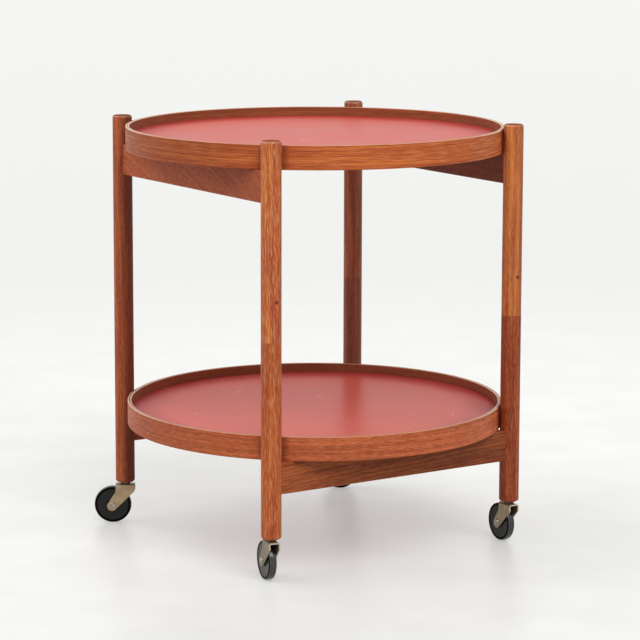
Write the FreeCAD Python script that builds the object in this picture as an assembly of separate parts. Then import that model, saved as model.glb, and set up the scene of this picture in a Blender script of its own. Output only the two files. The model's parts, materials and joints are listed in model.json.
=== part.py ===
"""Folding serving trolley: a wooden frame on four casters that carries two round lift-off trays.

The frame is four rigid side frames. Each is a rail with a leg half tenoned to each of its ends.
The two upper side frames turn on the two lower ones about a pivot dowel in the middle of every leg.
Lengths are in millimetres. The origin is on the floor under the middle of the trays, with +Z up.
The rails run along X and Y, and each leg is named for its place: left, front, right and back.
"""
import FreeCAD, Part
import math
import os

# Trays
tray_d = 500.0              # outside diameter of a tray's hoop
hoop_h = 31.0               # height of the hoop
hoop_t = 5.0                # thickness of the bent hoop
hoop_edge_r = 1.0           # rounding of the hoop's four edges
core_t = 5.0                # plywood panel in the middle of the tray
core_groove = 2.5           # how far the core is let into the hoop
laminate_t = 0.8            # laminate sheet on each face of the core
laminate_gap = 0.1          # from the edge of a laminate sheet to the hoop
tray_leg_gap = 0.8          # play between a tray and each leg

# Legs
leg_d = 26.0
leg_half_l = 251.0          # one half of a leg, from its end to the seam in the middle
leg_top_r = 3.0             # rounding of a leg's upper end
leg_foot_r = 3.5            # rounding of a leg's lower end
seam_bevel = 0.3            # bevel on both sides of the seam
leg_over_tray = 7.0         # how far a leg stands above the upper tray

# Rails
rail_h = 41.0
rail_t = 12.0
rail_edge_r = 2.0
cope_gap = 0.05             # glue line between a rail's hollowed end and the round leg
tenon_shoulder = 7.0        # step above and below a tenon
tenon_t = 6.0
tenon_depth = 18.0          # how far a tenon reaches into the leg
lower_rail_rise = 56.0      # from a leg's lower end to the underside of the lower rails

# Pivot in the middle of each leg
dowel_d = 12.0
dowel_half_l = 62.0         # how far the dowel reaches to each side of the seam
dowel_end_bevel = 1.0
dowel_end_gap = 1.5         # air past the dowel's lower end
pivot_gap = 0.05            # running clearance of the dowel in the lower leg half
pin_d = 5.0                 # cross pin that locks the dowel in the upper leg half
pin_head_h = 0.9            # how far the pin's domed head stands out of the leg
pin_below_end = 11.0        # from the dowel's upper end down to the cross pin
pin_past_dowel = 2.0        # how far the cross pin runs on past the dowel

# Caster wheel and its axle
wheel_d = 50.0
wheel_w = 10.4              # width of the wheel, at its rim and at its hub
tread_drop = 2.2            # how far the rounded tread falls away to the rim's edge
tread_flat_w = 6.0          # flat band round the middle of the tread
rim_face_w = 1.0            # flat ring inside the tread's edge
web_sink = 0.7              # how far the web lies below the ring
web_slope_w = 1.0           # width of the slopes beside the web
hub_r = 7.5
bush_r = 4.0                # outside of the steel bush in the hub
axle_r = 2.5
axle_gap = 0.05             # running clearance of the bush on the axle
rivet_head_r = 4.1
rivet_head_h = 1.4

# Caster fork
trail = 17.0                # from the swivel axis back to the axle
wheel_top_gap = 1.7         # from the wheel to the underside of the fork
fork_l = 26.2               # length of the fork's top plate
fork_sheet_t = 1.8
fork_side_gap = 0.35        # from the hub to each cheek
fork_bend_r = 0.8           # inside radius of the bend between top plate and cheek
front_straight = 9.3        # upright part of a cheek's leading edge
rear_straight = 10.2        # upright part of a cheek's trailing edge
tip_r = 6.5                 # rounded end of a cheek
tip_past_axle = 2.4         # from the axle to the centre of the rounded end

# Caster swivel
stem_r = 3.6
stem_l = 30.0               # how far the stem stands above the fork
stem_end_bevel = 1.2
stem_gap = 0.05             # running clearance of the stem in its socket
stem_head_gap = 0.05        # from the stem's head to the bends inside the fork
stem_head_h = 1.2
washer_r = 6.6
washer_t = 1.6
socket_flange_t = 1.4
socket_wall = 1.4
socket_l = 34.0             # how far the socket reaches up into the leg

# Directions in degrees from +X in which the casters trail at rest
trail_angle_deg = {"left": 147, "front": 77, "right": 86, "back": 147}

# Overrun of every cutting solid
over = 2.0

# Places worked out from the sizes
tray_r = tray_d / 2
core_r = tray_r - hoop_t + core_groove
laminate_r = tray_r - hoop_t - laminate_gap
leg_r = leg_d / 2
half_span = (tray_r + tray_leg_gap + leg_r) / math.sqrt(2)
wheel_r = wheel_d / 2
axle_z = wheel_r
fork_w = wheel_w + 2 * fork_side_gap + 2 * fork_sheet_t
stem_head_r = fork_w / 2 - fork_sheet_t - fork_bend_r - stem_head_gap
fork_under_z = wheel_d + wheel_top_gap
fork_top_z = fork_under_z + fork_sheet_t
flange_z = fork_top_z + washer_t
leg_foot_z = flange_z + socket_flange_t
seam_z = leg_foot_z + leg_half_l
leg_top_z = seam_z + leg_half_l
pin_z = seam_z + dowel_half_l - pin_below_end
lower_rail_z = leg_foot_z + lower_rail_rise
lower_tray_z = lower_rail_z + rail_h
upper_tray_z = leg_top_z - leg_over_tray - hoop_h
upper_rail_z = upper_tray_z - rail_h

Z_AXIS = FreeCAD.Vector(0, 0, 1)
ORIGIN = FreeCAD.Vector(0, 0, 0)

# Signs of X and Y at each leg
corners = {"left": (-1, 1), "front": (-1, -1), "right": (1, -1), "back": (1, 1)}

# Each rail with the two legs that it joins
upper_rails = {"left": ("left", "front"), "right": ("right", "back")}
lower_rails = {"front": ("front", "right"), "back": ("back", "left")}


def vec(x, y, z):
    """A point or direction."""
    return FreeCAD.Vector(x, y, z)


def leg_place(name):
    """Where the axis of a leg meets the floor."""
    sign_x, sign_y = corners[name]
    return vec(sign_x * half_span, sign_y * half_span, 0)


def cylinder(radius, low, high, at=ORIGIN):
    """An upright cylinder between two heights."""
    return Part.makeCylinder(radius, high - low, vec(at.x, at.y, low), Z_AXIS)


def cross_bar(radius, start, end):
    """A cylinder from one point to another."""
    return Part.makeCylinder(radius, (end - start).Length, start, end - start)


def dome(radius, height, base, outward):
    """A cap of a ball on a round base, rising along a unit direction."""
    ball_r = (radius ** 2 + height ** 2) / (2 * height)
    ball = Part.makeSphere(ball_r, base - outward * (ball_r - height))
    return ball.common(cross_bar(radius, base, base + outward * height))


def beam(start, end, extra, thickness, low, high):
    """A box along the line between two places on the floor, longer by extra at both ends."""
    along = (end - start).normalize()
    across = vec(-along.y, along.x, 0)
    corner = start - along * extra - across * (thickness / 2) + vec(0, 0, low)
    outline = [corner, corner + along * ((end - start).Length + 2 * extra)]
    outline += [outline[1] + across * thickness, corner + across * thickness, corner]
    return Part.Face(Part.makePolygon(outline)).extrude(vec(0, 0, high - low))


def rings_at(shape, height):
    """The round edges of a shape that lie level at one height."""
    tiny = hoop_t / 1000
    return [e for e in shape.Edges
            if abs(e.BoundBox.ZMin - height) < tiny and abs(e.BoundBox.ZMax - height) < tiny]


def turned(points):
    """A solid of revolution about Z from a closed outline of (radius, height) points."""
    wire = Part.makePolygon([vec(r, 0, z) for r, z in points + points[:1]])
    return Part.Face(wire).revolve(ORIGIN, Z_AXIS, 360)


def write(name, shape):
    """Save one node as a STEP file."""
    solid = shape.Solids[0] if len(shape.Solids) == 1 else shape
    solid.exportStep(os.path.join("parts", name + ".step"))
    print(name, "valid" if solid.isValid() else "NOT VALID", len(shape.Solids), round(solid.Volume, 1))


def tenon_bar(legs, low):
    """The bar inside a rail whose two ends are its tenons. It also cuts their mortises."""
    start, end = leg_place(legs[0]), leg_place(legs[1])
    return beam(start, end, tenon_depth - leg_r, tenon_t, low + tenon_shoulder, low + rail_h - tenon_shoulder)


def rail(legs, low):
    """A rail with rounded long edges, ends hollowed to fit the round legs, and a tenon at each end."""
    start, end = leg_place(legs[0]), leg_place(legs[1])
    body = beam(start, end, 0, rail_t, low, low + rail_h)
    body = body.makeFillet(rail_edge_r, [e for e in body.Edges if e.Length > rail_h + rail_t])
    for place in (start, end):
        body = body.cut(cylinder(leg_r + cope_gap, low - over, low + rail_h + over, place))
    return body.fuse(tenon_bar(legs, low)).removeSplitter()


def pin_bar(name, reach):
    """A bar on a cross pin's axis, from just past the dowel out to some reach from the leg's axis."""
    outward = vec(0, corners[name][1], 0)
    middle = leg_place(name) + vec(0, 0, pin_z)
    return cross_bar(pin_d / 2, middle - outward * (dowel_d / 2 + pin_past_dowel), middle + outward * reach)


def upper_leg(name, legs):
    """The upper half of a leg, with its mortise, the dowel's tight bore and the cross pin's hole."""
    place = leg_place(name)
    shape = cylinder(leg_r, seam_z, leg_top_z, place)
    shape = shape.makeFillet(leg_top_r, rings_at(shape, leg_top_z))
    shape = shape.makeChamfer(seam_bevel, rings_at(shape, seam_z))
    shape = shape.cut(cylinder(dowel_d / 2, seam_z - over, seam_z + dowel_half_l, place))
    return shape.cut(tenon_bar(legs, upper_rail_z)).cut(pin_bar(name, leg_r + over))


def lower_leg(name, legs):
    """The lower half of a leg, with its mortise, the dowel's running bore and the socket's bore."""
    place = leg_place(name)
    shape = cylinder(leg_r, leg_foot_z, seam_z, place)
    shape = shape.makeFillet(leg_foot_r, rings_at(shape, leg_foot_z))
    shape = shape.makeChamfer(seam_bevel, rings_at(shape, seam_z))
    dowel_bore_low = seam_z - dowel_half_l - dowel_end_gap
    shape = shape.cut(cylinder(dowel_d / 2 + pivot_gap, dowel_bore_low, seam_z + over, place))
    socket_r = stem_r + stem_gap + socket_wall
    shape = shape.cut(cylinder(socket_r, leg_foot_z - over, leg_foot_z + socket_l, place))
    return shape.cut(tenon_bar(legs, lower_rail_z))


def pivot_dowel(name):
    """The dowel that a leg's two halves turn on, with bevelled ends and the cross pin's hole."""
    low, high = seam_z - dowel_half_l, seam_z + dowel_half_l
    shape = cylinder(dowel_d / 2, low, high, leg_place(name))
    shape = shape.makeChamfer(dowel_end_bevel, rings_at(shape, low) + rings_at(shape, high))
    return shape.cut(pin_bar(name, leg_r + over))


def cross_pin(name):
    """The pin that locks the dowel, with a domed head that stands out of the leg."""
    outward = vec(0, corners[name][1], 0)
    base = leg_place(name) + vec(0, 0, pin_z) + outward * leg_r
    return pin_bar(name, leg_r).fuse(dome(pin_d / 2, pin_head_h, base, outward)).removeSplitter()


def tray_hoop(low):
    """The bent hoop of a tray, with a groove for the core half way up."""
    high = low + hoop_h
    shape = cylinder(tray_r, low, high).cut(cylinder(tray_r - hoop_t, low - over, high + over))
    shape = shape.makeFillet(hoop_edge_r, rings_at(shape, low) + rings_at(shape, high))
    groove_low = low + (hoop_h - core_t) / 2
    return shape.cut(cylinder(core_r, groove_low, groove_low + core_t))


def write_tray(prefix, low):
    """Save the hoop of one tray, and its panel: a plywood core between two laminate sheets."""
    core_low = low + (hoop_h - core_t) / 2
    core_high = core_low + core_t
    write(prefix + "_tray_hoop", tray_hoop(low))
    write(prefix + "_tray_core", cylinder(core_r, core_low, core_high))
    write(prefix + "_tray_laminate_top", cylinder(laminate_r, core_high, core_high + laminate_t))
    write(prefix + "_tray_laminate_bottom", cylinder(laminate_r, core_low - laminate_t, core_low))


def along_axle(radius, half_length):
    """A cylinder centred on the axle."""
    return cross_bar(radius, vec(trail, -half_length, axle_z), vec(trail, half_length, axle_z))


def mirrored(point):
    """The same point on the other side of the wheel's middle."""
    return vec(point.x, -point.y, point.z)


def caster_wheel():
    """The moulded wheel: a hub, a sunk web, and a rim with a rounded tread."""
    half_w, half_flat = wheel_w / 2, tread_flat_w / 2
    shoulder_r = wheel_r - tread_drop
    ring_r = shoulder_r - rim_face_w
    web_y = half_w - web_sink
    side = [vec(0, half_w, bush_r), vec(0, half_w, hub_r), vec(0, web_y, hub_r + web_slope_w),
            vec(0, web_y, ring_r - web_slope_w), vec(0, half_w, ring_r), vec(0, half_w, shoulder_r)]
    slant = math.sin(math.pi / 4)
    tread_middle = vec(0, half_flat + (half_w - half_flat) * slant, shoulder_r + tread_drop * slant)
    tread_top = vec(0, half_flat, wheel_r)
    other_side = [mirrored(p) for p in reversed(side)]
    edges = [Part.LineSegment(a, b).toShape() for a, b in zip(side, side[1:])]
    edges.append(Part.Arc(side[-1], tread_middle, tread_top).toShape())
    edges.append(Part.LineSegment(tread_top, mirrored(tread_top)).toShape())
    edges.append(Part.Arc(mirrored(tread_top), mirrored(tread_middle), other_side[0]).toShape())
    edges += [Part.LineSegment(a, b).toShape() for a, b in zip(other_side, other_side[1:])]
    edges.append(Part.LineSegment(other_side[-1], side[0]).toShape())
    shape = Part.Face(Part.Wire(edges)).revolve(ORIGIN, vec(0, 1, 0), 360)
    shape.translate(vec(trail, 0, axle_z))
    return shape


def wheel_bush():
    """The steel tube in the wheel's hub that runs on the axle."""
    return along_axle(bush_r, wheel_w / 2).cut(along_axle(axle_r + axle_gap, wheel_w / 2 + over))


def axle_rivet():
    """The riveted axle, with a domed head outside each cheek."""
    shape = along_axle(axle_r, fork_w / 2)
    for side in (-1, 1):
        face = vec(trail, side * fork_w / 2, axle_z)
        shape = shape.fuse(dome(rivet_head_r, rivet_head_h, face, vec(0, side, 0)))
    return shape.removeSplitter()


def tangent_point(outer, centre, radius, side):
    """Where a line from an outer point touches a circle in the XZ plane, on one side of it."""
    reach = outer - centre
    angle = math.atan2(reach.z, reach.x) + side * math.acos(radius / reach.Length)
    return centre + vec(radius * math.cos(angle), 0, radius * math.sin(angle))


def top_bends(shape, level):
    """The two straight edges along X that lie highest on a shape."""
    return [e for e in shape.Edges if e.BoundBox.ZMin > level and e.BoundBox.XLength > e.BoundBox.YLength]


def fork():
    """The pressed fork: a top plate and two cheeks that taper back to the axle."""
    front_x, rear_x = -fork_l / 2, fork_l / 2
    axle = vec(trail, 0, axle_z)
    lean = (axle - vec(0, 0, fork_top_z)).normalize()
    tip = axle + lean * tip_past_axle
    top_front, top_rear = vec(front_x, 0, fork_top_z), vec(rear_x, 0, fork_top_z)
    front_low = top_front - vec(0, 0, front_straight)
    rear_low = top_rear - vec(0, 0, rear_straight)
    front_touch = tangent_point(front_low, tip, tip_r, 1)
    rear_touch = tangent_point(rear_low, tip, tip_r, -1)
    edges = [Part.LineSegment(top_rear, top_front).toShape(),
             Part.LineSegment(top_front, front_low).toShape(),
             Part.LineSegment(front_low, front_touch).toShape(),
             Part.Arc(front_touch, tip + lean * tip_r, rear_touch).toShape(),
             Part.LineSegment(rear_touch, rear_low).toShape(),
             Part.LineSegment(rear_low, top_rear).toShape()]
    face = Part.Face(Part.Wire(edges))
    face.translate(vec(0, -fork_w / 2, 0))
    shape = face.extrude(vec(0, fork_w, 0))
    shape = shape.makeFillet(fork_bend_r + fork_sheet_t, top_bends(shape, fork_under_z))
    room_low = axle_z - tip_r - tip_past_axle - over
    room = beam(top_front, vec(rear_x + trail, 0, fork_top_z), tip_r + over, fork_w - 2 * fork_sheet_t,
                room_low - fork_top_z, fork_under_z - fork_top_z)
    room = room.makeFillet(fork_bend_r, top_bends(room, fork_under_z - fork_sheet_t))
    shape = shape.cut(room).cut(along_axle(axle_r, fork_w))
    return shape.cut(cylinder(stem_r, fork_under_z - over, fork_top_z + over))


def swivel_stem():
    """The upright stem, with a flat head under the fork's top plate and a bevelled upper end."""
    head_z = fork_under_z - stem_head_h
    high = fork_top_z + stem_l
    return turned([(0, head_z), (stem_head_r, head_z), (stem_head_r, fork_under_z), (stem_r, fork_under_z),
                   (stem_r, high - stem_end_bevel), (stem_r - stem_end_bevel, high), (0, high)])


def swivel_washer():
    """The thrust washer on top of the fork."""
    hole = cylinder(stem_r + stem_gap, fork_top_z - over, flange_z + over)
    return cylinder(washer_r, fork_top_z, flange_z).cut(hole)


def stem_socket():
    """The steel socket in the leg's end, with a flange below the wood."""
    bore_r = stem_r + stem_gap
    outer_r = bore_r + socket_wall
    high = leg_foot_z + socket_l
    return turned([(bore_r, flange_z), (washer_r, flange_z), (washer_r, leg_foot_z), (outer_r, leg_foot_z),
                   (outer_r, high), (bore_r, high)])


caster_pieces = {
    "socket": stem_socket,
    "washer": swivel_washer,
    "stem": swivel_stem,
    "fork": fork,
    "axle": axle_rivet,
    "wheel": caster_wheel,
    "bush": wheel_bush,
}


def write_casters():
    """Save the pieces of the four casters, each turned to its trail and moved to its leg."""
    for piece, make in caster_pieces.items():
        pattern = make()
        for leg in corners:
            shape = pattern.copy()
            shape.rotate(ORIGIN, Z_AXIS, trail_angle_deg[leg])
            shape.translate(leg_place(leg))
            write("caster_" + piece + "_" + leg, shape)


def write_frames():
    """Save the rails, the leg halves, the pivot dowels and the cross pins."""
    for name, legs in upper_rails.items():
        write("rail_upper_" + name, rail(legs, upper_rail_z))
        for leg in legs:
            write("leg_upper_" + leg, upper_leg(leg, legs))
            write("pivot_dowel_" + leg, pivot_dowel(leg))
            write("cross_pin_" + leg, cross_pin(leg))
    for name, legs in lower_rails.items():
        write("rail_lower_" + name, rail(legs, lower_rail_z))
        for leg in legs:
            write("leg_lower_" + leg, lower_leg(leg, legs))


os.makedirs("parts", exist_ok=True)
write_frames()
write_tray("lower", lower_tray_z)
write_tray("upper", upper_tray_z)
write_casters()
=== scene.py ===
"""Looks of a folding serving trolley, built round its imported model.

An oiled teak frame and two bent teak hoops, red laminate trays, and bronzed casters with black wheels,
on a pale studio floor. Lengths are metres in the model's own frame: +Z up, origin on the floor under the
trays. Where a size is in millimetres, its class says so.
"""

from __future__ import annotations

import json
import logging
import math
from dataclasses import dataclass, replace
from enum import Enum
from typing import Any

import bmesh
import bpy
from bpy.types import Material, Mesh, Node, NodeSocket, NodeTree, Object
from mathutils import Matrix, Vector

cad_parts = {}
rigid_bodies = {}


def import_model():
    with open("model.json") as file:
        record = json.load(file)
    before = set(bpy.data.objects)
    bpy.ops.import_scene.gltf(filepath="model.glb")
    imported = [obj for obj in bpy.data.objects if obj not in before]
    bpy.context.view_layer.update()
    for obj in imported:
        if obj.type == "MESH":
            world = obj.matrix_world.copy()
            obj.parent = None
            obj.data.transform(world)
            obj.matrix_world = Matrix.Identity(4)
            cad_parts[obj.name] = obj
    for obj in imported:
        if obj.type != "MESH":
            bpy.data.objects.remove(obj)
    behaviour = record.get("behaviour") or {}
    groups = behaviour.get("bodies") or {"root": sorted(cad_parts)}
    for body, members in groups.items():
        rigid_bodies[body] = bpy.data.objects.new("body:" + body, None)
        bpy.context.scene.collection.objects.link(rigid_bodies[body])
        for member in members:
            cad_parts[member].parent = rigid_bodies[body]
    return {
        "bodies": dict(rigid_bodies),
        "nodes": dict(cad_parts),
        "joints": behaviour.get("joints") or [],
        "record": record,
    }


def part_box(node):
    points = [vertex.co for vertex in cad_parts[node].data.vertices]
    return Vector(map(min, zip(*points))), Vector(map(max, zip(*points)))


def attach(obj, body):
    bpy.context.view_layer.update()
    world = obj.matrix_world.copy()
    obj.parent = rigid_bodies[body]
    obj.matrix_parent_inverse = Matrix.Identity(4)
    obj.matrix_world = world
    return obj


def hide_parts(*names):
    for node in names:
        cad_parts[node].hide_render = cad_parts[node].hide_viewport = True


LOG = logging.getLogger("serving_trolley")
MM = 0.001

# Sockets of the Mix node when it mixes colours
SHARE, UNDER, OVER = 0, 6, 7

# A wheel's attribute that holds how far each point lies from the wheel's middle, along the axle
ACROSS = "across"

# How close two points of a grown or turned mesh lie when they are one
GROWN_WELD = 0.005 * MM
TURNED_WELD = 0.002 * MM

# Steps round the small curves of the grown pieces
HOOP_EDGE_STEPS = 5
BAR_END_STEPS = 6
ROLL_STEPS = 12
EYE_RINGS = 8


def linear(code: str) -> tuple[float, float, float, float]:
    """Turn an sRGB hex colour into the linear one that a shader takes.

    Args:
        code: Six hex digits after a hash sign.

    Returns:
        Linear red, green and blue, and an alpha of 1.
    """
    shares = [int(code[k:k + 2], 16) / 255 for k in (1, 3, 5)]
    red, green, blue = (s / 12.92 if s <= 0.04045 else ((s + 0.055) / 1.055) ** 2.4 for s in shares)
    return red, green, blue, 1.0


def per_metre(size: tuple[float, float, float]) -> tuple[float, float, float]:
    """Return how many times a pattern of this size in millimetres repeats in a metre along X, Y and Z."""
    return tuple(1 / (length * MM) for length in size)


def add(tree: NodeTree, kind: str, inputs: dict | None = None, **settings: Any) -> Node:
    """Add a node with its settings and links.

    Args:
        tree: The node tree to add to.
        kind: The node's type name.
        inputs: Values, sockets or nodes for the inputs, by name or place. A node gives its first output
            in use.
        settings: Properties of the node, set before its inputs.

    Returns:
        The new node.
    """
    node = tree.nodes.new(kind)
    for key, value in settings.items():
        setattr(node, key, value)
    for key, value in (inputs or {}).items():
        if isinstance(value, Node):
            value = next(socket for socket in value.outputs if socket.enabled)
        if isinstance(value, NodeSocket):
            tree.links.new(value, node.inputs[key])
        else:
            node.inputs[key].default_value = value
    return node


def painted(tree: NodeTree, ground: str, coats: list[tuple[Any, str]]) -> Node:
    """Lay coats of colour over a ground colour.

    Args:
        tree: The material's node tree.
        ground: The ground's hex colour.
        coats: Each coat's share, as a value or node, and its hex colour.

    Returns:
        The node that gives the colour.
    """
    colour = linear(ground)
    for share, coat in coats:
        colour = add(tree, "ShaderNodeMix", {SHARE: share, UNDER: colour, OVER: linear(coat)},
                     data_type="RGBA")
    return colour


def shown(tree: NodeTree) -> Node:
    """Tell whether the camera sees this point: straight, mirrored or through glass.

    Args:
        tree: The node tree of a material or the world.

    Returns:
        The node that gives 1 where it does.
    """
    path = add(tree, "ShaderNodeLightPath").outputs
    seen = add(tree, "ShaderNodeMath", {0: path["Is Camera Ray"], 1: path["Is Glossy Ray"]},
               operation="MAXIMUM")
    return add(tree, "ShaderNodeMath", {0: seen, 1: path["Is Transmission Ray"]}, operation="MAXIMUM")


def streaks(tree: NodeTree, place: Any, size: tuple[float, float, float], low: float, high: float,
            most: float = 1.0, detail: float = 2.0) -> Node:
    """Turn a noise that is drawn out along the axes into a share.

    Args:
        tree: The material's node tree.
        place: The point that the noise is read at.
        size: How long a streak is along X, Y and Z, in millimetres.
        low: The noise that gives no share.
        high: The noise that gives the full share.
        most: The full share.
        detail: How many finer noises are added.

    Returns:
        The node that gives the share.
    """
    place = add(tree, "ShaderNodeVectorMath", {0: place, 1: per_metre(size)}, operation="MULTIPLY")
    noise = add(tree, "ShaderNodeTexNoise", {"Vector": place, "Scale": 1.0, "Detail": detail})
    return add(tree, "ShaderNodeMapRange", {"Value": noise, "From Min": low, "From Max": high,
                                            "To Max": most})


def gritty(tree: NodeTree, place: Any, grain: float, detail: float, strength: float,
           height: float) -> Node:
    """Roughen a surface with fine grit.

    Args:
        tree: The material's node tree.
        place: The point that the grit is read at.
        grain: The size of a grain, in metres.
        detail: How many finer noises are added.
        strength: How strongly the grit turns the light.
        height: How high a grain stands, in metres.

    Returns:
        The node that gives the surface's normal.
    """
    grit = add(tree, "ShaderNodeTexNoise", {"Vector": place, "Scale": 1 / grain, "Detail": detail})
    return add(tree, "ShaderNodeBump", {"Height": grit, "Strength": strength, "Distance": height})


class Grain(Enum):
    """The axis of the trolley that a straight piece's grain runs along, as the turn from Z to it."""

    X = (0.0, math.pi / 2, 0.0)
    Y = (-math.pi / 2, 0.0, 0.0)
    Z = (0.0, 0.0, 0.0)

    @property
    def along(self) -> tuple[float, float, float]:
        """Return the unit vector along the grain."""
        return tuple(float(axis is self) for axis in (Grain.X, Grain.Y, Grain.Z))


class Corner(Enum):
    """The corners of the frame as the camera sees them: each has a leg and a caster."""

    LEFT = "left"
    FRONT = "front"
    RIGHT = "right"
    BACK = "back"


class Level(Enum):
    """The upper and the lower one of a leg's halves, and of the two trays."""

    UPPER = "upper"
    LOWER = "lower"


class Slot(Enum):
    """The material slots of the record."""

    TEAK_LOWER = "teak_lower"
    TEAK_UPPER = "teak_upper"
    TEAK_HOOP = "teak_hoop"
    PLYWOOD = "plywood"
    RED_LAMINATE = "red_laminate"
    DOWEL_WOOD = "dowel_wood"
    DARK_PIN = "dark_pin"
    FORK_STEEL = "fork_steel"
    BRIGHT_STEEL = "bright_steel"
    BLACK_WHEEL = "black_wheel"


class Finish:
    """A finish that makes its material once and lends it to every piece that asks."""

    name: str

    def material(self) -> Material:
        """Lend the finish's material, which is made at the first call.

        Returns:
            The material.
        """
        found = bpy.data.materials.get(self.name)
        if found is None:
            found = bpy.data.materials.new(self.name)
            found.use_nodes = True
            tree = found.node_tree
            tree.nodes.clear()
            shader = self.surface(tree)
            add(tree, "ShaderNodeOutputMaterial", {"Surface": shader})
        return found

    def surface(self, tree: NodeTree) -> Node:
        """Build the nodes. Each finish has its own.

        Args:
            tree: The material's node tree.

        Returns:
            The shader.
        """
        raise NotImplementedError

    def dress(self, piece: Object) -> None:
        """Make this finish the only one on a piece.

        Args:
            piece: A piece with a mesh.
        """
        piece.data.materials.clear()
        piece.data.materials.append(self.material())
        for face in piece.data.polygons:
            face.material_index = 0


@dataclass(frozen=True)
class Figure:
    """The colours of a plank of teak, and how strongly each mark along its grain shows.

    A band, a fibre and a pore have a width and a length each, in millimetres.
    """

    pale: str
    warm: str
    dark: str = "#70301C"
    fleck: str = "#E6A67C"
    fibre_show: float = 0.36
    pore_show: float = 0.50
    fleck_show: float = 0.26
    band: tuple[float, float] = (6.0, 130.0)
    fibre: tuple[float, float] = (1.5, 60.0)
    pore: tuple[float, float] = (1.3, 9.0)
    fibre_depth: float = 0.35

    def draw(self, tree: NodeTree, place: Any, run: tuple[int, int, int]) -> tuple[list, Node]:
        """Draw the bands, fibres, pores and flecks of the plank.

        Args:
            tree: The material's node tree.
            place: A point in the wood.
            run: 1 for each axis along the grain, and 0 for each axis across it.

        Returns:
            The coats over the pale colour, and how deep the pores and fibres lie.
        """
        sizes = (self.band, self.fibre, self.pore)
        band, fibre, pore = (tuple(size[axis] for axis in run) for size in sizes)
        bands = streaks(tree, place, band, low=0.36, high=0.64)
        fibres = streaks(tree, place, fibre, low=0.42, high=0.62)
        # Pores are 0.3 mm wide in teak, and drawn about 1 mm wide so that they show
        pores = streaks(tree, place, pore, low=0.56, high=0.64, most=self.pore_show, detail=1.0)
        flecks = streaks(tree, place, pore, low=0.44, high=0.36, most=self.fleck_show, detail=1.0)
        fibre_share = add(tree, "ShaderNodeMath", {0: fibres, 1: self.fibre_show}, operation="MULTIPLY")
        relief = add(tree, "ShaderNodeMath", {0: fibres, 1: self.fibre_depth, 2: pores},
                     operation="MULTIPLY_ADD")
        coats = [(bands, self.warm), (fibre_share, self.dark), (flecks, self.fleck), (pores, self.dark)]
        return coats, relief


@dataclass(frozen=True)
class TeakOil:
    """Oil rubbed into wood: dull in the pores, smoother between them, and matt where it has worn off.

    Smooth and porous are roughnesses. The shine is a specular level, and each step of roughness that hands
    rub away adds twice as much shine.
    """

    ior: float = 1.46
    relief_strength: float = 0.4
    pore_depth: float = 0.3 * MM
    smooth: float = 0.46
    porous: float = 0.60
    shine: float = 0.24
    bare_shine: float = 0.04
    rubbed_shine: float = 2.0

    def shader(self, tree: NodeTree, colour: Node, relief: Node, bare: Node, rubbed: Node) -> Node:
        """Build the shader of oiled wood.

        Args:
            tree: The material's node tree.
            colour: The wood's colour.
            relief: How deep the pores and fibres lie.
            bare: The share of wood with no oil left on it.
            rubbed: How much smoother hands have rubbed it, as roughness.

        Returns:
            The shader.
        """
        bump = add(tree, "ShaderNodeBump", {"Height": relief, "Strength": self.relief_strength,
                                            "Distance": -self.pore_depth})
        gloss = add(tree, "ShaderNodeMapRange", {"Value": relief, "To Min": self.smooth,
                                                 "To Max": self.porous})
        gloss = add(tree, "ShaderNodeMath", {0: gloss, 1: rubbed}, operation="SUBTRACT")
        gloss = add(tree, "ShaderNodeMath", {0: gloss, 1: bare}, operation="MAXIMUM")
        sheen = add(tree, "ShaderNodeMapRange", {"Value": bare, "To Min": self.shine,
                                                 "To Max": self.bare_shine})
        sheen = add(tree, "ShaderNodeMath", {0: rubbed, 1: self.rubbed_shine, 2: sheen},
                    operation="MULTIPLY_ADD")
        return add(tree, "ShaderNodeBsdfPrincipled", {"Base Color": colour, "Roughness": gloss,
                                                      "Normal": bump, "IOR": self.ior,
                                                      "Specular IOR Level": sheen})


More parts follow.
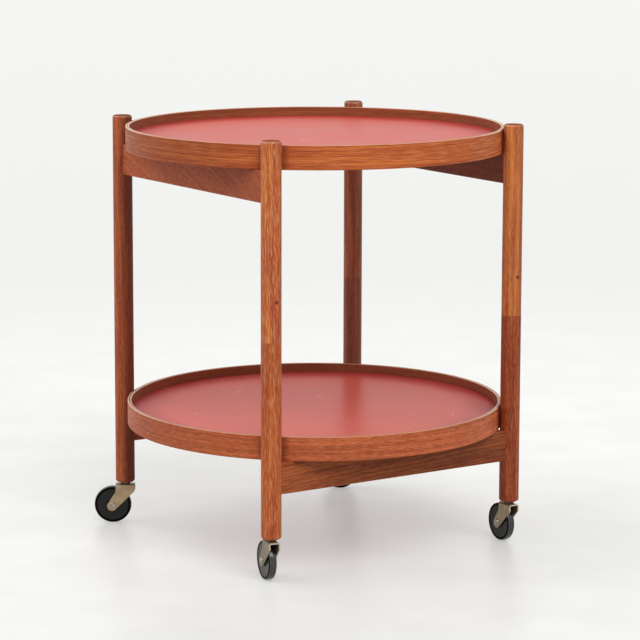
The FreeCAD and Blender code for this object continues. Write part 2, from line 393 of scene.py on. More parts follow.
@dataclass(frozen=True)
class OiledTeak(Finish):
    """Sawn or turned teak with an oil finish: satin, with growth rings, long dark pores and pale flecks.

    The pattern is a block of wood in three dimensions, so that it shows stripes along a leg and rings on its
    end. The heart is the middle of the tree as seen from the piece, the slope is how the grain leans, in
    radians, and along tells planks apart. A slow wave is as wide and long as wave says, in millimetres.
    """

    name: str
    centre: tuple[float, float, float]
    grain: Grain
    figure: Figure
    heart: tuple[float, float]
    along: float = 0.0
    ring_step: float = 5.0 * MM
    ring_show: float = 0.12
    slope: tuple[float, float] = (0.0, 0.0)
    wave: tuple[float, float, float] = (62.5, 62.5, 222.2)
    sway: float = 10 * MM
    # Painted shade: the piece is painted darker on one side, as these four values say
    shade_side: tuple[float, float] = (0.0, 0.0)
    shade_share: float = 0.68
    shade_start: float = -7.0 * MM
    shade_full: float = 12.0 * MM
    end_grain: str = "#82523A"
    end_share: float = 0.75
    end_polish: float = 0.28
    oil: TeakOil = TeakOil()

    def surface(self, tree: NodeTree) -> Node:
        """Build the wood's colour, pores and sheen.

        Args:
            tree: The material's node tree.

        Returns:
            The shader.
        """
        piece = add(tree, "ShaderNodeTexCoord").outputs["Object"]
        piece = add(tree, "ShaderNodeVectorMath", {0: piece, 1: self.centre}, operation="SUBTRACT")
        place = add(tree, "ShaderNodeMapping", {"Vector": piece, "Rotation": self.grain.value},
                    vector_type="TEXTURE")
        place = add(tree, "ShaderNodeMapping", {"Vector": place, "Rotation": (*self.slope, 0.0),
                                                "Location": (*self.heart, self.along)})

        # A tree doesn't grow straight, so slow waves bend the rings by some millimetres
        slow = add(tree, "ShaderNodeVectorMath", {0: place, 1: per_metre(self.wave)}, operation="MULTIPLY")
        sway = add(tree, "ShaderNodeTexNoise", {"Vector": slow, "Scale": 1.0, "Detail": 2.0})
        sway = add(tree, "ShaderNodeVectorMath", {0: sway.outputs["Color"], 1: (self.sway, self.sway, 0.0),
                                                  2: (-self.sway / 2, -self.sway / 2, 0.0)},
                   operation="MULTIPLY_ADD")
        bent = add(tree, "ShaderNodeVectorMath", {0: place, 1: sway}, operation="ADD")
        coats, relief = self.figure.draw(tree, bent, (0, 0, 1))
        coats.insert(1, (self.rings(tree, bent), self.figure.dark))
        # Painted shade on one side of the piece
        if any(self.shade_side):
            coats.append((self.side(tree, piece), self.figure.dark))
        end, bare, rubbed = self.ends(tree)
        coats.append((end, self.end_grain))
        return self.oil.shader(tree, painted(tree, self.figure.pale, coats), relief, bare, rubbed)

    def rings(self, tree: NodeTree, place: Any) -> Node:
        """Draw the growth rings, which are darker where the tree grew slowly.

        Args:
            tree: The material's node tree.
            place: A point in the wood, measured from the heart.

        Returns:
            The share of dark wood.
        """
        flat = add(tree, "ShaderNodeVectorMath", {0: place, 1: (1.0, 1.0, 0.0)}, operation="MULTIPLY")
        reach = add(tree, "ShaderNodeVectorMath", {0: flat}, operation="LENGTH")
        turns = add(tree, "ShaderNodeMath", {0: reach, 1: math.tau / self.ring_step}, operation="MULTIPLY")
        rings = add(tree, "ShaderNodeMath", {0: turns}, operation="SINE")
        return add(tree, "ShaderNodeMapRange", {"Value": rings, "From Min": -0.2, "From Max": 0.9,
                                                "To Max": self.ring_show}, interpolation_type="SMOOTHSTEP")

    def side(self, tree: NodeTree, piece: Any) -> Node:
        """Paint shade on one side of the piece.

        Args:
            tree: The material's node tree.
            piece: A point measured from the middle of the piece.

        Returns:
            The share of dark wood.
        """
        side = add(tree, "ShaderNodeVectorMath", {0: piece, 1: (*self.shade_side, 0.0)},
                   operation="DOT_PRODUCT")
        return add(tree, "ShaderNodeMapRange", {"Value": side, "From Min": self.shade_start,
                                                "From Max": self.shade_full, "To Max": self.shade_share},
                   interpolation_type="SMOOTHSTEP")

    def ends(self, tree: NodeTree) -> tuple[Node, Node, Node]:
        """Tell the end grain, which is darker and matt, from the rounding below it, which hands polish.

        Each share follows the cosine of the angle between the surface's normal and the grain.

        Args:
            tree: The material's node tree.

        Returns:
            The share of end grain, the share with no oil left, and how much smoother the rounding is.
        """
        facing = add(tree, "ShaderNodeNewGeometry").outputs["Normal"]
        facing = add(tree, "ShaderNodeVectorMath", {0: facing, 1: self.grain.along},
                     operation="DOT_PRODUCT")
        end = add(tree, "ShaderNodeMapRange", {"Value": facing, "From Min": 0.45, "From Max": 0.90,
                                               "To Max": self.end_share})
        bare = add(tree, "ShaderNodeMapRange", {"Value": facing, "From Min": 0.70, "From Max": 0.95})
        rounding = add(tree, "ShaderNodeMapRange", {"Value": facing, "From Min": 0.10, "From Max": 0.40})
        polish = add(tree, "ShaderNodeMapRange", {"Value": facing, "From Min": 0.60, "From Max": 0.85,
                                                  "To Min": self.end_polish, "To Max": 0.0})
        rubbed = add(tree, "ShaderNodeMath", {0: rounding, 1: polish}, operation="MULTIPLY")
        return end, bare, rubbed


@dataclass(frozen=True)
class BentTeak(Finish):
    """Thin teak strips bent round and glued into a hoop: satin, streaked all the way round.

    The glue line shows dark on the upper edge. The shift tells strips apart. A slow wave is as long as wave
    says, in millimetres. A direction across the tray points to the two ends where its upper edge gets a
    painted highlight.
    """

    name: str
    centre: tuple[float, float, float]
    radius: float
    height: float
    thickness: float
    figure: Figure
    shift: float
    # Painted shade darkens the hoop on the side that this direction points to
    shade_side: tuple[float, float]
    shade_share: float = 0.4
    wave: tuple[float, float, float] = (142.9, 142.9, 50.0)
    sway: float = 6 * MM
    depth_stretch: float = 2.2
    # Pale colour of the upper edge: partly wear, partly a painted highlight
    edge: str = "#DDA478"
    wear_and_highlight_share: float = 0.50
    edge_polish: float = 0.12
    edge_start: float = 0.9 * MM
    edge_full: float = 0.35 * MM
    glue_half: float = 0.45 * MM
    glue_fade: float = 0.8 * MM
    # Pale colour of the painted highlight on the upper edge at the hoop's two ends
    worn: str = "#E0BFA2"
    inner: str = "#6C4434"
    inner_share: float = 0.62
    # How dark the painted shadows at the legs are
    leg_shadow_share: float = 0.8
    highlight_axis: tuple[float, float, float] = (0.836, -0.549, 0.0)
    oil: TeakOil = TeakOil()

    def surface(self, tree: NodeTree) -> Node:
        """Build the hoop's streaks, its polished upper edge and its darker inside, with painted shade and
        highlights.

        Args:
            tree: The material's node tree.

        Returns:
            The shader.
        """
        place = add(tree, "ShaderNodeTexCoord").outputs["Object"]
        place = add(tree, "ShaderNodeVectorMath", {0: place, 1: self.centre}, operation="SUBTRACT")
        level = add(tree, "ShaderNodeSeparateXYZ", {0: place}).outputs["Z"]
        flat = add(tree, "ShaderNodeVectorMath", {0: place, 1: (1.0, 1.0, 0.0)}, operation="MULTIPLY")
        reach = add(tree, "ShaderNodeVectorMath", {0: flat}, operation="LENGTH")
        outward = add(tree, "ShaderNodeVectorMath", {0: flat}, operation="NORMALIZE")
        along = add(tree, "ShaderNodeVectorMath", {0: outward, "Scale": self.radius}, operation="SCALE")

        # Across the grain a point lies at its height on the hoop's faces, and at its depth on the edges
        middle_line = self.radius - self.thickness / 2
        depth = add(tree, "ShaderNodeMath", {0: reach, 1: middle_line}, operation="SUBTRACT")
        across = add(tree, "ShaderNodeMath", {0: depth, 1: self.depth_stretch, 2: level},
                     operation="MULTIPLY_ADD")
        lift = add(tree, "ShaderNodeMath", {0: across, 1: self.shift}, operation="ADD")
        lift = add(tree, "ShaderNodeCombineXYZ", {"Z": lift})
        wood = add(tree, "ShaderNodeVectorMath", {0: along, 1: lift}, operation="ADD")

        # The strip's grain wanders up and down by some millimetres on its way round
        slow = add(tree, "ShaderNodeVectorMath", {0: wood, 1: per_metre(self.wave)}, operation="MULTIPLY")
        sway = add(tree, "ShaderNodeTexNoise", {"Vector": slow, "Scale": 1.0, "Detail": 1.0})
        sway = add(tree, "ShaderNodeMath", {0: sway, 1: self.sway, 2: -self.sway / 2},
                   operation="MULTIPLY_ADD")
        sway = add(tree, "ShaderNodeCombineXYZ", {"Z": sway})
        bent = add(tree, "ShaderNodeVectorMath", {0: wood, 1: sway}, operation="ADD")
        coats, relief = self.figure.draw(tree, bent, (1, 1, 0))

        # Painted shade darkens the strip on one side all the way round, and the inside is darker than the
        # outside
        side = add(tree, "ShaderNodeVectorMath", {0: outward, 1: (*self.shade_side, 0.0)},
                   operation="DOT_PRODUCT")
        side = add(tree, "ShaderNodeMapRange", {"Value": side, "From Min": 0.6, "To Max": self.shade_share})
        inside = add(tree, "ShaderNodeMapRange", {"Value": depth, "From Min": -0.1 * MM,
                                                  "From Max": -self.thickness / 2,
                                                  "To Max": self.inner_share})

        # Hands and cloths polish the whole upper edge, and it is painted pale: partly wear, partly a painted
        # highlight
        top = add(tree, "ShaderNodeMapRange", {"Value": level, "From Min": self.height / 2 - self.edge_start,
                                               "From Max": self.height / 2 - self.edge_full})
        wear_and_highlight = add(tree, "ShaderNodeMath", {0: top, 1: self.wear_and_highlight_share}, operation="MULTIPLY")
        polish = add(tree, "ShaderNodeMath", {0: top, 1: self.edge_polish}, operation="MULTIPLY")
        # Painted shadows where the legs meet the hoop, which are also matt
        rubbed = self.painted_leg_shadows(tree, outward, depth)
        # The coats include a painted highlight at the hoop's two ends and painted shadows at the legs
        coats += [(side, self.figure.dark), (inside, self.inner), (wear_and_highlight, self.edge),
                  (self.painted_end_highlight(tree, outward, top), self.worn),
                  (self.glue_line(tree, depth, top), self.figure.dark), (rubbed, self.figure.dark)]
        return self.oil.shader(tree, painted(tree, self.figure.pale, coats), relief, rubbed, polish)

    def painted_end_highlight(self, tree: NodeTree, outward: Node, top: Node) -> Node:
        """Paint a highlight on the upper edge at the two ends of the hoop.

        Args:
            tree: The material's node tree.
            outward: The direction from the tray's middle.
            top: The share of upper edge.

        Returns:
            The share of painted highlight.
        """
        end_facing = add(tree, "ShaderNodeVectorMath", {0: outward, 1: self.highlight_axis}, operation="DOT_PRODUCT")
        end_facing = add(tree, "ShaderNodeMath", {0: end_facing}, operation="ABSOLUTE")
        # From 39 degrees beside the highlight's direction to 14 degrees, as cosines
        end_facing = add(tree, "ShaderNodeMapRange", {"Value": end_facing, "From Min": 0.78, "From Max": 0.97})
        return add(tree, "ShaderNodeMath", {0: end_facing, 1: top}, operation="MULTIPLY")

    def glue_line(self, tree: NodeTree, depth: Node, top: Node) -> Node:
        """Draw the dark glue line along the middle of the upper edge.

        Args:
            tree: The material's node tree.
            depth: How far a point lies outside the middle of the strip.
            top: The share of upper edge.

        Returns:
            The share of dark wood.
        """
        off_line = add(tree, "ShaderNodeMath", {0: depth}, operation="ABSOLUTE")
        line = add(tree, "ShaderNodeMapRange", {"Value": off_line, "From Min": self.glue_half,
                                                "From Max": self.glue_fade, "To Min": 1.0, "To Max": 0.0})
        return add(tree, "ShaderNodeMath", {0: line, 1: top}, operation="MULTIPLY")

    def painted_leg_shadows(self, tree: NodeTree, outward: Node, depth: Node) -> Node:
        """Paint shadow on the hoop, and make it matt, at the four legs, which stand at 45 degrees to X and Y.

        Args:
            tree: The material's node tree.
            outward: The direction from the tray's middle.
            depth: How far a point lies outside the middle of the strip.

        Returns:
            The share of painted shadow.
        """
        around = add(tree, "ShaderNodeSeparateXYZ", {0: outward}).outputs
        square = add(tree, "ShaderNodeMath", {0: around["X"], 1: around["Y"]}, operation="MULTIPLY")
        square = add(tree, "ShaderNodeMath", {0: square}, operation="ABSOLUTE")
        # X times Y is one half at 45 degrees, and falls off within 5 degrees
        rubbed = add(tree, "ShaderNodeMapRange", {"Value": square, "From Min": 0.4930, "From Max": 0.4996,
                                                  "To Max": self.leg_shadow_share})
        out_face = add(tree, "ShaderNodeMapRange", {"Value": depth, "From Min": 0.0, "From Max": 1.0 * MM})
        return add(tree, "ShaderNodeMath", {0: rubbed, 1: out_face}, operation="MULTIPLY")


@dataclass(frozen=True)
class RedLaminate(Finish):
    """High pressure laminate in brick red, satin: hairline scratches and rubbed patches from use.

    The clouds and the gaps between scratches are given by their size in millimetres.
    """

    name: str
    red: str
    faded: str
    # Colour of the painted shade and dark reflection beside the hoop
    rim_shade: str = "#901428"
    scuff: str = "#EEC4BA"
    cloud: tuple[float, float, float] = (110.0, 110.0, 110.0)
    gap: tuple[float, float, float] = (38.0, 38.0, 38.0)
    hair_bend: float = 71.43 * MM
    radius: float = 245.0 * MM
    rim_shade_reach: float = 50.0 * MM
    rim_shade_share: float = 0.7
    grit: float = 1.111 * MM
    smooth: float = 0.30
    rubbed: float = 0.36
    shine: float = 0.060

    def surface(self, tree: NodeTree) -> Node:
        """Build the sheet's faint mottling, its hairlines, painted shade by the hoop and its uneven gloss.

        Args:
            tree: The material's node tree.

        Returns:
            The shader.
        """
        place = add(tree, "ShaderNodeTexCoord").outputs["Object"]
        cloud = streaks(tree, place, self.cloud, low=0.35, high=0.68, detail=4.0)

        # Level lines of a slow noise are long curved hairlines, and a second noise breaks them up. A real
        # scratch is 0.1 mm wide, and is drawn up to 1 mm wide so that it shows
        lines = add(tree, "ShaderNodeTexNoise", {"Vector": place, "Scale": 1 / self.hair_bend,
                                                 "Detail": 1.5})
        lines = add(tree, "ShaderNodeMath", {0: lines, 1: 0.5}, operation="SUBTRACT")
        lines = add(tree, "ShaderNodeMath", {0: lines}, operation="ABSOLUTE")
        lines = add(tree, "ShaderNodeMapRange", {"Value": lines, "From Min": 0.0015, "From Max": 0.0035,
                                                 "To Min": 1.0, "To Max": 0.0})
        gaps = streaks(tree, place, self.gap, low=0.60, high=0.66, most=0.5, detail=1.0)
        hair = add(tree, "ShaderNodeMath", {0: lines, 1: gaps}, operation="MULTIPLY")

        # Painted shade and a painted dark reflection of the hoop darken the panel beside the hoop
        flat = add(tree, "ShaderNodeVectorMath", {0: place, 1: (1.0, 1.0, 0.0)}, operation="MULTIPLY")
        reach = add(tree, "ShaderNodeVectorMath", {0: flat}, operation="LENGTH")
        unshaded = self.radius - self.rim_shade_reach
        corner = add(tree, "ShaderNodeMapRange", {"Value": reach, "From Min": unshaded,
                                                  "From Max": self.radius, "To Max": self.rim_shade_share})
        colour = painted(tree, self.red, [(cloud, self.faded), (corner, self.rim_shade), (hair, self.scuff)])
        gloss = add(tree, "ShaderNodeMapRange", {"Value": cloud, "To Min": self.smooth,
                                                 "To Max": self.rubbed})
        # The press leaves grit finer than 0.1 mm, drawn 1 mm wide so that it shows
        bump = gritty(tree, place, self.grit, detail=1.0, strength=0.03, height=0.1 * MM)
        return add(tree, "ShaderNodeBsdfPrincipled", {"Base Color": colour, "Roughness": gloss,
                                                      "Normal": bump, "IOR": 1.5,
                                                      "Specular IOR Level": self.shine})


@dataclass(frozen=True)
class BirchPlywood(Finish):
    """Sawn plywood: pale, matt, with the darker glued plies as thin level bands."""

    name: str = "birch_plywood"
    pale: str = "#C9A77A"
    dark: str = "#8C6238"
    ply: float = 1.25 * MM
    fibre: float = 2.38 * MM

    def surface(self, tree: NodeTree) -> Node:
        """Build the plies and the grain of the sawn edge.

        Args:
            tree: The material's node tree.

        Returns:
            The shader.
        """
        place = add(tree, "ShaderNodeTexCoord").outputs["Object"]
        height = add(tree, "ShaderNodeSeparateXYZ", {0: place}).outputs["Z"]
        turns = add(tree, "ShaderNodeMath", {0: height, 1: math.pi / self.ply}, operation="MULTIPLY")
        plies = add(tree, "ShaderNodeMath", {0: turns}, operation="SINE")
        plies = add(tree, "ShaderNodeMapRange", {"Value": plies, "From Min": -0.3, "From Max": 0.3})
        grain = add(tree, "ShaderNodeTexNoise", {"Vector": place, "Scale": 1 / self.fibre, "Detail": 3.0})
        share = add(tree, "ShaderNodeMath", {0: plies, 1: grain}, operation="MULTIPLY")
        colour = painted(tree, self.pale, [(share, self.dark)])
        return add(tree, "ShaderNodeBsdfPrincipled", {"Base Color": colour, "Roughness": 0.75})


@dataclass(frozen=True)
class TurnedBeech(Finish):
    """Raw turned beech of the pivot dowels: pale pink-brown, with short fine flecks.

    The size of a fleck is in millimetres.
    """

    name: str = "turned_beech"
    pale: str = "#D2AE84"
    fleck: str = "#A97B52"
    fleck_size: tuple[float, float, float] = (0.7, 0.7, 4.5)

    def surface(self, tree: NodeTree) -> Node:
        """Build the dowel's flecks.

        Args:
            tree: The material's node tree.

        Returns:
            The shader.
        """
        place = add(tree, "ShaderNodeTexCoord").outputs["Object"]
        flecks = streaks(tree, place, self.fleck_size, low=0.5, high=0.7)
        colour = painted(tree, self.pale, [(flecks, self.fleck)])
        return add(tree, "ShaderNodeBsdfPrincipled", {"Base Color": colour, "Roughness": 0.6})


@dataclass(frozen=True)
class Plated(Finish):
    """Pressed or turned steel with a thin plating: a soft metal sheen, fine grit and a little dirt.

    The mottle is the size of a spot of dirt, in millimetres.
    """

    name: str
    bright: str
    dull: str
    roughness: float
    metallic: float
    mottle: float
    specular: float = 0.5
    dirt_roughness: float = 0.1
    grit: float = 0.625 * MM

    def surface(self, tree: NodeTree) -> Node:
        """Build the plating's mottling and its fine grit.

        Args:
            tree: The material's node tree.

        Returns:
            The shader.
        """
        place = add(tree, "ShaderNodeTexCoord").outputs["Object"]
        spot = (self.mottle, self.mottle, self.mottle)
        mottle = streaks(tree, place, spot, low=0.38, high=0.68, detail=4.0)
        colour = painted(tree, self.bright, [(mottle, self.dull)])
        gloss = add(tree, "ShaderNodeMapRange", {"Value": mottle, "To Min": self.roughness,
                                                 "To Max": self.roughness + self.dirt_roughness})
        # The grit of plated steel is some hundredths of a millimetre, drawn coarser so that it shows
        bump = gritty(tree, place, self.grit, detail=2.0, strength=0.12, height=0.05 * MM)
        return add(tree, "ShaderNodeBsdfPrincipled", {"Base Color": colour, "Metallic": self.metallic,
                                                      "Roughness": gloss, "Normal": bump,
                                                      "Specular IOR Level": self.specular})


@dataclass(frozen=True)
class LacqueredFork(Finish):
    """Pressed steel in bronze lacquer: satin outside, with a painted highlight along its cut edges, a painted
    dark reflection on its top plate and painted shade inside.

    The centre lies on the swivel's axis at the underside of the top plate, and the axle runs across the fork.
    Inner is half the space between its sides, and a mottle is as wide as mottle says, in millimetres.
    """

    name: str
    centre: tuple[float, float, float]
    axle: tuple[float, float, float]
    lacquer: str
    dull: str
    inner: float = 5.55 * MM
    fade_start: float = 0.10 * MM
    fade_end: float = 0.04 * MM
    mottle: tuple[float, float, float] = (9.0, 9.0, 9.0)
    # Colour of the painted dark reflection on the up-facing top plate
    top: str = "#86745A"
    # Colour of the painted highlight along the cut edges
    cut: str = "#CBBFA9"
    edge_highlight_share: float = 0.8
    # Colour of the painted shade inside the fork
    inside_shade: str = "#6A5238"
    metallic: float = 0.4
    satin: float = 0.34
    inside_roughness: float = 0.8
    grit: float = 0.625 * MM

    def surface(self, tree: NodeTree) -> Node:
        """Build the lacquer's mottling, the cut edges' painted highlight, the top plate's painted
        dark reflection and the painted shade inside.

        Args:
            tree: The material's node tree.

        Returns:
            The shader.
        """
        place = add(tree, "ShaderNodeTexCoord").outputs["Object"]
        mottle = streaks(tree, place, self.mottle, low=0.38, high=0.68, detail=4.0)

        # The inside lies between the fork's two sides and below its top plate, and is painted dark as shade
        own = add(tree, "ShaderNodeVectorMath", {0: place, 1: self.centre}, operation="SUBTRACT")
        off = add(tree, "ShaderNodeVectorMath", {0: own, 1: self.axle}, operation="DOT_PRODUCT")
        off = add(tree, "ShaderNodeMath", {0: off}, operation="ABSOLUTE")
        between = add(tree, "ShaderNodeMapRange", {"Value": off, "From Min": self.inner + self.fade_start,
                                                   "From Max": self.inner + self.fade_end})
        level = add(tree, "ShaderNodeSeparateXYZ", {0: own}).outputs["Z"]
        below = add(tree, "ShaderNodeMapRange", {"Value": level, "From Min": self.fade_start,
                                                 "From Max": self.fade_end})
        inside = add(tree, "ShaderNodeMath", {0: between, 1: below}, operation="MULTIPLY")

        # A cut edge faces along the plate, and the top plate faces up: both are told by a cosine. The cut
        # edges get a painted highlight, and the top plate a painted dark reflection
        facing = add(tree, "ShaderNodeNewGeometry").outputs["Normal"]
        sideways = add(tree, "ShaderNodeVectorMath", {0: facing, 1: self.axle}, operation="DOT_PRODUCT")
        sideways = add(tree, "ShaderNodeMath", {0: sideways}, operation="ABSOLUTE")
        cut = add(tree, "ShaderNodeMapRange", {"Value": sideways, "From Min": 0.5, "From Max": 0.2,
                                               "To Max": self.edge_highlight_share})
        # The up-facing top plate gets a painted dark reflection
        upward = add(tree, "ShaderNodeSeparateXYZ", {0: facing}).outputs["Z"]
        upward = add(tree, "ShaderNodeMapRange", {"Value": upward, "From Min": 0.2, "From Max": 0.7})
        colour = painted(tree, self.lacquer, [(mottle, self.dull), (cut, self.cut), (upward, self.top),
                                              (inside, self.inside_shade)])
        gloss = add(tree, "ShaderNodeMapRange", {"Value": inside, "To Min": self.satin,
                                                 "To Max": self.inside_roughness})
        # Sprayed lacquer has a grain of about 0.1 mm, drawn coarser so that it shows
        bump = gritty(tree, place, self.grit, detail=2.0, strength=0.12, height=0.05 * MM)
        return add(tree, "ShaderNodeBsdfPrincipled", {"Base Color": colour, "Metallic": self.metallic,
                                                      "Roughness": gloss, "Normal": bump})


@dataclass(frozen=True)
class MouldedBlack(Finish):
    """Moulded phenolic of the wheels: glossy black with thin dust, and grey rings painted on the tread as
    highlights.

    The rings follow the wheel's own attribute, which holds the distance from the wheel's middle. A speck of
    dust is as wide as speck says, in millimetres.
    """

    name: str = "moulded_black"
    black: str = "#0E0D0C"
    dust: str = "#4A443B"
    # Grey of the rings painted on the tread as highlights
    rubbed: str = "#6C6F70"
    speck: tuple[float, float, float] = (3.8, 3.8, 3.8)
    ring_step: float = 3.5 * MM
    highlight_ring_share: float = 0.42
    tread: float = 4.9 * MM
    glossy: float = 0.14
    dusty: float = 0.6
    face_shine: float = 0.02
    tread_shine: float = 0.62

    def surface(self, tree: NodeTree) -> Node:
        """Build the gloss, the thin dust and the rings.

        Args:
            tree: The material's node tree.

        Returns:
            The shader.
        """
        place = add(tree, "ShaderNodeTexCoord").outputs["Object"]
        dust = streaks(tree, place, self.speck, low=0.5, high=0.85, most=0.22, detail=5.0)
        # Grey rings painted on the tread as highlights
        across = add(tree, "ShaderNodeAttribute", attribute_name=ACROSS).outputs["Fac"]
        turns = add(tree, "ShaderNodeMath", {0: across, 1: math.tau / self.ring_step}, operation="MULTIPLY")
        rings = add(tree, "ShaderNodeMath", {0: turns}, operation="COSINE")
        rings = add(tree, "ShaderNodeMapRange", {"Value": rings, "From Min": 0.45, "From Max": 1.0})
        off = add(tree, "ShaderNodeMath", {0: across}, operation="ABSOLUTE")
        rolls = add(tree, "ShaderNodeMapRange", {"Value": off, "From Min": self.tread,
                                                 "From Max": self.tread - MM})
        rings = add(tree, "ShaderNodeMath", {0: rings, 1: rolls}, operation="MULTIPLY")
        rings = add(tree, "ShaderNodeMath", {0: rings, 1: self.highlight_ring_share}, operation="MULTIPLY")
        colour = painted(tree, self.black, [(dust, self.dust), (rings, self.rubbed)])
        gloss = add(tree, "ShaderNodeMapRange", {"Value": dust, "To Min": self.glossy,
                                                 "To Max": self.dusty})
        # The floor polishes the tread, and dust dulls the faces
        sheen = add(tree, "ShaderNodeMapRange", {"Value": rolls, "To Min": self.face_shine,
                                                 "To Max": self.tread_shine})
        return add(tree, "ShaderNodeBsdfPrincipled", {"Base Color": colour, "Roughness": gloss, "IOR": 1.5,
                                                      "Specular IOR Level": sheen})


@dataclass(frozen=True)
class StudioFloor(Finish):
    """Pale painted concrete: nearly white, with a dull gloss that shows the legs softly.

    Its clouds are given by their size in millimetres. The glow falls off between near and far, in metres.
    """

    name: str = "painted_concrete"
    paint: str = "#C0C2BF"
    worn: str = "#B8BAB6"
    roughness: float = 0.38
    cloud: tuple[float, float, float] = (140.0, 140.0, 140.0)
    glow: str = "#F8F8F7"
    near_glow: float = 0.36
    far_glow: float = 0.23
    near: float = 0.5
    far: float = 2.6

    def surface(self, tree: NodeTree) -> Node:
        """Build the paint, and the glow of the lit studio, which the camera sees but which lights nothing.

        Args:
            tree: The material's node tree.

        Returns:
            The shader.
        """
        place = add(tree, "ShaderNodeTexCoord").outputs["Object"]
        reach = add(tree, "ShaderNodeVectorMath", {0: place}, operation="LENGTH")
        away = add(tree, "ShaderNodeMapRange", {"Value": reach, "From Min": self.near, "From Max": self.far},
                   interpolation_type="SMOOTHSTEP")
        # The mottling fades with distance, where the low view would draw it out into ripples
        clear = add(tree, "ShaderNodeMath", {0: 1.0, 1: away}, operation="SUBTRACT")
        cloud = streaks(tree, place, self.cloud, low=0.35, high=0.65, detail=6.0)
        cloud = add(tree, "ShaderNodeMath", {0: cloud, 1: clear}, operation="MULTIPLY")
        colour = painted(tree, self.paint, [(cloud, self.worn)])
        paint = add(tree, "ShaderNodeBsdfPrincipled", {"Base Color": colour, "Roughness": self.roughness,
                                                       "IOR": 1.4})
        glow = add(tree, "ShaderNodeMapRange", {"Value": away, "To Min": self.near_glow,
                                                "To Max": self.far_glow})
        glow = add(tree, "ShaderNodeMath", {0: shown(tree), 1: glow}, operation="MULTIPLY")
        glow = add(tree, "ShaderNodeEmission", {"Color": linear(self.glow), "Strength": glow})
        return add(tree, "ShaderNodeAddShader", {0: paint, 1: glow})


def new_tree(name: str, lengths: tuple[str, ...]) -> tuple[NodeTree, Node]:
    """Start a geometry tree with named inputs: its lengths, and its steps, place and material.

    Args:
        name: The tree's name.
        lengths: The names of the inputs that are lengths or angles.

    Returns:
        The tree and its input node.
    """
    tree = bpy.data.node_groups.new(name, "GeometryNodeTree")
    tree.interface.new_socket("Geometry", in_out="OUTPUT", socket_type="NodeSocketGeometry")
    kinds = {label: "NodeSocketFloat" for label in lengths}
    kinds |= {"Steps": "NodeSocketInt", "Place": "NodeSocketVector", "Material": "NodeSocketMaterial"}
    for label, kind in kinds.items():
        tree.interface.new_socket(label, in_out="INPUT", socket_type=kind)
    return tree, add(tree, "NodeGroupInput")


def close_tree(tree: NodeTree, geometry: Node, given: Node) -> None:
    """End a geometry tree: one welded, smooth, real mesh in the given material.

    Args:
        tree: The tree to end.
        geometry: The node whose first output is the shape.
        given: The tree's input node, which has a Material and a Place.
    """
    moved = add(tree, "GeometryNodeTransform", {"Geometry": geometry,
                                                "Translation": given.outputs["Place"]})
    real = add(tree, "GeometryNodeRealizeInstances", {0: moved})
    welded = add(tree, "GeometryNodeMergeByDistance", {"Geometry": real, "Distance": GROWN_WELD})
    smooth = add(tree, "GeometryNodeSetShadeSmooth", {"Geometry": welded})
    dressed = add(tree, "GeometryNodeSetMaterial", {"Geometry": smooth,
                                                    "Material": given.outputs["Material"]})
    add(tree, "NodeGroupOutput", {0: dressed})


def hoop_tree() -> NodeTree:
    """Make the tree that bends a strip with rounded edges round into a hoop.

    Returns:
        The tree.
    """
    tree, given = new_tree("bent_hoop", ("Radius", "Height", "Thickness", "Edge"))
    sizes = given.outputs
    strip = add(tree, "GeometryNodeCurvePrimitiveQuadrilateral", {"Width": sizes["Thickness"],
                                                                  "Height": sizes["Height"]})
    strip = add(tree, "GeometryNodeFilletCurve", {"Curve": strip, "Radius": sizes["Edge"],
                                                  "Count": HOOP_EDGE_STEPS}, mode="POLY")
    middle_line = add(tree, "ShaderNodeMath", {0: sizes["Thickness"], 1: -0.5, 2: sizes["Radius"]},
                      operation="MULTIPLY_ADD")
    path = add(tree, "GeometryNodeCurvePrimitiveCircle", {"Resolution": sizes["Steps"],
                                                          "Radius": middle_line})
    hoop = add(tree, "GeometryNodeCurveToMesh", {"Curve": path, "Profile Curve": strip})
    close_tree(tree, hoop, given)
    return tree


def turned_tree() -> NodeTree:
    """Make the tree that turns a round bar with rounded ends.

    Returns:
        The tree.
    """
    tree, given = new_tree("turned_bar", ("Radius", "Low", "High", "Low round", "High round"))
    sizes = given.outputs
    # The outline runs up from the axis in four points, set off from a path of half the radius
    path_r = add(tree, "ShaderNodeMath", {0: sizes["Radius"], 1: 0.5}, operation="MULTIPLY")
    inner = add(tree, "ShaderNodeMath", {0: path_r, 1: -1.0}, operation="MULTIPLY")
    low = add(tree, "ShaderNodeMath", {0: sizes["Low"], 1: -1.0}, operation="MULTIPLY")
    high = add(tree, "ShaderNodeMath", {0: sizes["High"], 1: -1.0}, operation="MULTIPLY")
    corners = [add(tree, "ShaderNodeCombineXYZ", {"X": x, "Y": y})
               for x, y in ((inner, low), (path_r, low), (path_r, high), (inner, high))]
    index = add(tree, "GeometryNodeInputIndex")
    places = add(tree, "GeometryNodeIndexSwitch", data_type="VECTOR")
    rounds = add(tree, "GeometryNodeIndexSwitch", data_type="FLOAT")
    for switch in (places, rounds):
        switch.index_switch_items.new()
        switch.index_switch_items.new()
        tree.links.new(index.outputs[0], switch.inputs[0])
    for k, corner in enumerate(corners):
        tree.links.new(corner.outputs[0], places.inputs[k + 1])
    tree.links.new(sizes["Low round"], rounds.inputs[2])
    tree.links.new(sizes["High round"], rounds.inputs[3])
    line = add(tree, "GeometryNodeMeshLine", {"Count": len(corners)})
    line = add(tree, "GeometryNodeSetPosition", {"Geometry": line, "Position": places})
    outline = add(tree, "GeometryNodeMeshToCurve", {"Mesh": line})
    outline = add(tree, "GeometryNodeFilletCurve", {"Curve": outline, "Radius": rounds,
                                                    "Count": BAR_END_STEPS}, mode="POLY")
    path = add(tree, "GeometryNodeCurvePrimitiveCircle", {"Resolution": sizes["Steps"], "Radius": path_r})
    bar = add(tree, "GeometryNodeCurveToMesh", {"Curve": path, "Profile Curve": outline})
    close_tree(tree, bar, given)
    return tree


